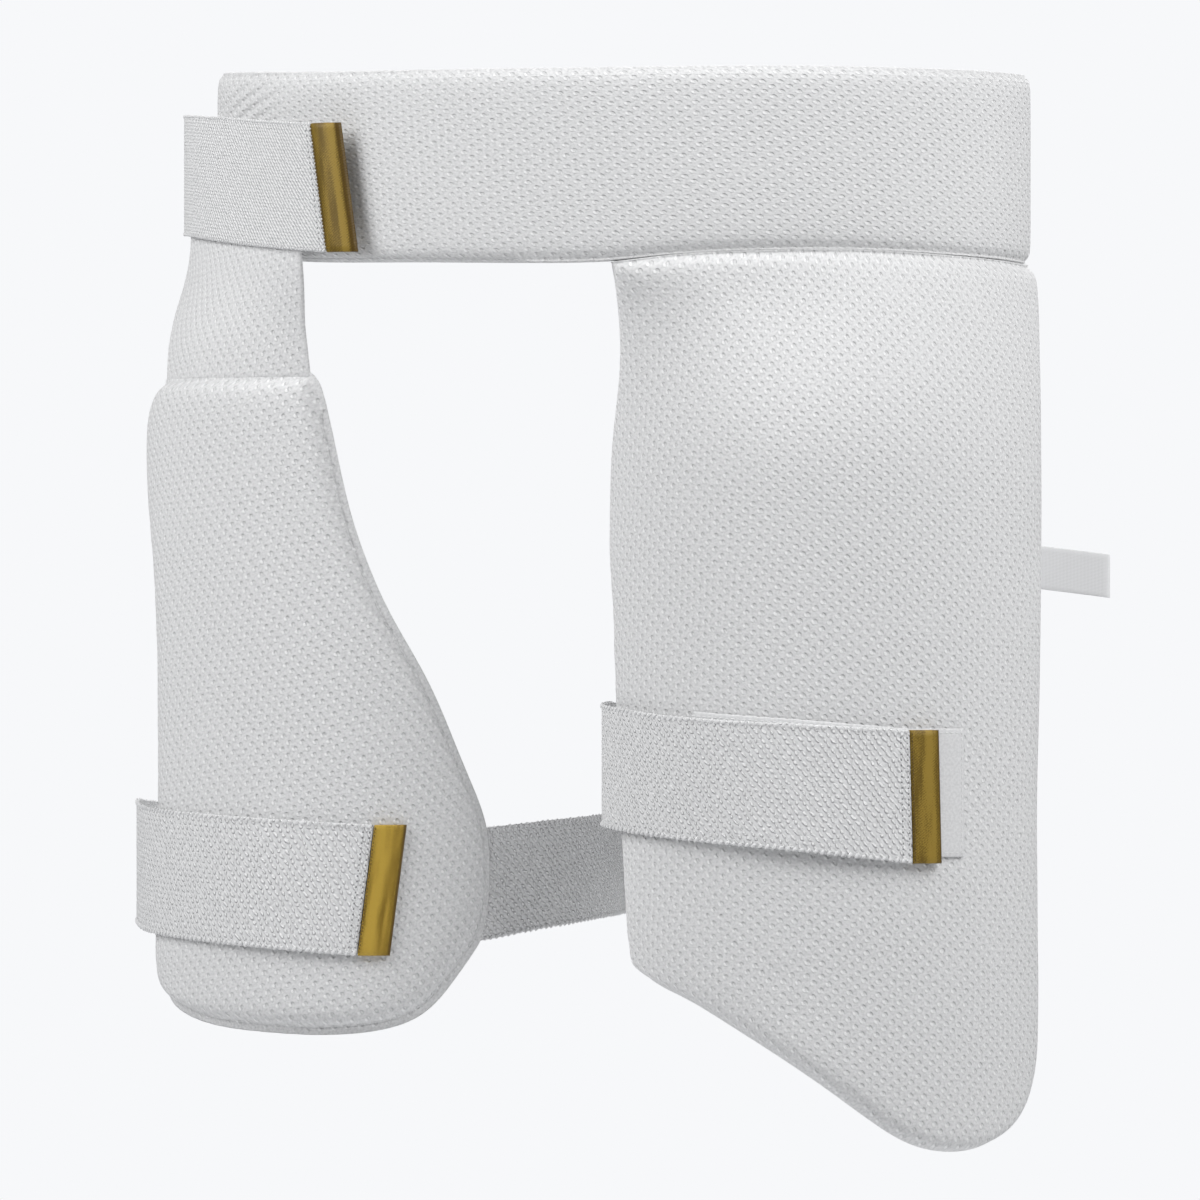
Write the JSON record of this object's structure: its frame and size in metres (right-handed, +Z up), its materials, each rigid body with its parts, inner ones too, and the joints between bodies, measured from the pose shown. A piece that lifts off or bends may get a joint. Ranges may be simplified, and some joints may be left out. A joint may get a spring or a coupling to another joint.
{
  "type": "cricket thigh guard",
  "caption": "Worn combined cricket thigh guard: padded mesh belt, long outer pad, smaller inner pad on a fabric neck, and elastic waist and thigh straps with satin end tabs.",
  "frame": {"origin": "on the axis of the waist loop, level with the middle of the waist strap at the wearer's back", "axes": "+Z up, -Y the way the wearer faces, +X the wearer's left, where the outer pad hangs"},
  "size_m": [0.4411, 0.2794, 0.4635],
  "materials": {
    "mesh_fabric": "white dimpled polyester mesh over foam",
    "elastic": "white woven elastic webbing",
    "satin_tab": "olive gold satin tape",
    "hook_patch": "white brushed loop fabric",
    "label_tape": "white woven tape, blank"
  },
  "bodies": {
    "root": {"waist_belt": "mesh_fabric", "outer_pad": "mesh_fabric", "inner_neck": "mesh_fabric", "inner_pad": "mesh_fabric", "outer_hook_patch": "hook_patch", "waist_strap": "elastic", "outer_strap": "elastic", "inner_strap": "elastic", "waist_tab": "satin_tab", "outer_tab": "satin_tab", "inner_tab": "satin_tab", "side_label": "label_tape"}
  },
  "joints": []
}
